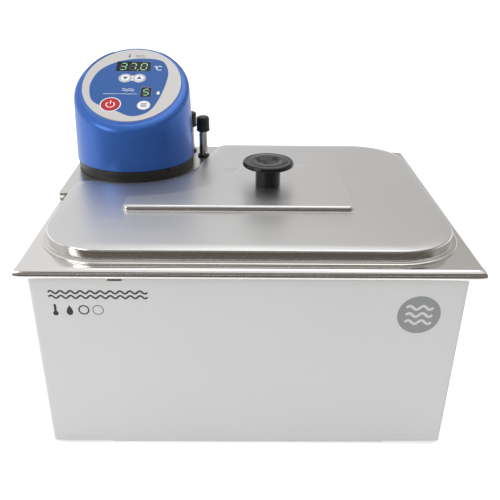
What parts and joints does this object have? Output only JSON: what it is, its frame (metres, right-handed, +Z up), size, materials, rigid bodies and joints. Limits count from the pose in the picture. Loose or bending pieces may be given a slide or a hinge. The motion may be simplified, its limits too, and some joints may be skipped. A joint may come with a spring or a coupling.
{
  "type": "circulating water bath",
  "caption": "Heated circulating water bath: a steel tank in a boxed casing, a lift-off steel lid with a knob, and a round pump head with a slanted keypad.",
  "frame": {"origin": "on the bench, under the middle of the tank's rim", "axes": "+X to the right along the long side, +Y to the back, +Z up"},
  "size_m": [0.325, 0.265, 0.2624],
  "materials": {
    "pan_steel": "deep-drawn stainless steel, satin inside, brushed on the rim",
    "casing_paint": "semi-matt pale grey powder coat",
    "bridge_steel": "satin stainless sheet",
    "base_sheet": "galvanised tray, dull grey",
    "foot_rubber": "black pads",
    "insulation": "mineral wool mat",
    "seal_rubber": "black sheet rubber",
    "base_plastic": "black moulding, fine texture",
    "housing_plastic": "blue moulding, satin",
    "panel_film": "printed film, light grey with a blue field",
    "red_key": "printed red key",
    "arrow_key": "printed blue key",
    "white_key": "printed white key",
    "display_window": "dark smoked window over digits",
    "circuit_board": "green laminate",
    "component_black": "moulded components",
    "spacer_plastic": "natural nylon",
    "pin_brass": "bright contacts",
    "motor_steel": "motor can, grey",
    "bright_steel": "bright stainless rod and tube",
    "fastener_steel": "plain stainless fasteners",
    "pump_plastic": "black glass-filled moulding",
    "lid_steel": "satin stainless sheet, pressed and hemmed",
    "knob_plastic": "black moulding, satin gloss",
    "cap_rubber": "soft black caps"
  },
  "bodies": {
    "bath": {"bath_pan": "pan_steel", "casing": "casing_paint", "casing_screws": "fastener_steel", "base_plate": "base_sheet", "feet": "foot_rubber", "insulation_base": "insulation", "insulation_wrap": "insulation", "bridge_plate": "bridge_steel", "head_gasket": "seal_rubber", "head_base": "base_plastic", "base_screws": "fastener_steel", "head_housing": "housing_plastic", "side_screws": "fastener_steel", "keypad_panel": "panel_film", "temperature_display": "display_window", "flow_display": "display_window", "control_board": "circuit_board", "board_standoffs": "spacer_plastic", "key_switches": "component_black", "power_board": "circuit_board", "power_transformer": "component_black", "mains_inlet": "component_black", "inlet_pins": "pin_brass", "pump_motor": "motor_steel", "pump_stem": "bright_steel", "shaft_bush": "spacer_plastic", "pump_housing": "pump_plastic", "pump_cover": "pump_plastic", "pump_cover_screws": "fastener_steel", "heater_coil": "bright_steel", "temperature_probe": "bright_steel", "level_stem": "bright_steel", "gland_nuts": "fastener_steel", "outlet_tube": "bright_steel", "return_tube": "bright_steel", "tube_grommets": "seal_rubber", "tube_nuts": "fastener_steel"},
    "lid": {"lid_shell": "lid_steel", "lid_knob": "knob_plastic", "knob_washer": "fastener_steel", "knob_screw": "fastener_steel"},
    "pump_rotor": {"pump_shaft": "bright_steel", "impeller": "pump_plastic"},
    "float": {"level_float": "spacer_plastic"},
    "power_key": {"power_button": "red_key"},
    "down_key": {"down_button": "arrow_key"},
    "up_key": {"up_button": "arrow_key"},
    "mode_key": {"mode_button": "white_key"},
    "outlet_plug": {"outlet_cap": "cap_rubber"},
    "return_plug": {"return_cap": "cap_rubber"}
  },
  "joints": [
    {"name": "lid_lift", "type": "slide", "parent": "bath", "child": "lid", "axis": [0, 0, 1], "range_m": [0, 0.12]},
    {"name": "pump_spin", "type": "hinge", "parent": "bath", "child": "pump_rotor", "pos_m": [-0.1055, 0.0707, 0.1], "axis": [0, 0, 1], "continuous": true},
    {"name": "float_rise", "type": "slide", "parent": "bath", "child": "float", "axis": [0, 0, 1], "range_m": [0, 0.008]},
    {"name": "power_key_press", "type": "slide", "parent": "bath", "child": "power_key", "axis": [0, 0.4509, -0.8926], "range_m": [0, 0.0006], "stiffness_N_per_m": 400, "springref_m": -0.0005},
    {"name": "down_key_press", "type": "slide", "parent": "bath", "child": "down_key", "axis": [0, 0.4509, -0.8926], "range_m": [0, 0.0006], "stiffness_N_per_m": 400, "springref_m": -0.0005},
    {"name": "up_key_press", "type": "slide", "parent": "bath", "child": "up_key", "axis": [0, 0.4509, -0.8926], "range_m": [0, 0.0006], "stiffness_N_per_m": 400, "springref_m": -0.0005},
    {"name": "mode_key_press", "type": "slide", "parent": "bath", "child": "mode_key", "axis": [0, 0.4509, -0.8926], "range_m": [0, 0.0006], "stiffness_N_per_m": 400, "springref_m": -0.0005},
    {"name": "outlet_cap_pull", "type": "slide", "parent": "bath", "child": "outlet_plug", "axis": [0, 0, 1], "range_m": [0, 0.03]},
    {"name": "return_cap_pull", "type": "slide", "parent": "bath", "child": "return_plug", "axis": [0, 0, 1], "range_m": [0, 0.03]}
  ]
}
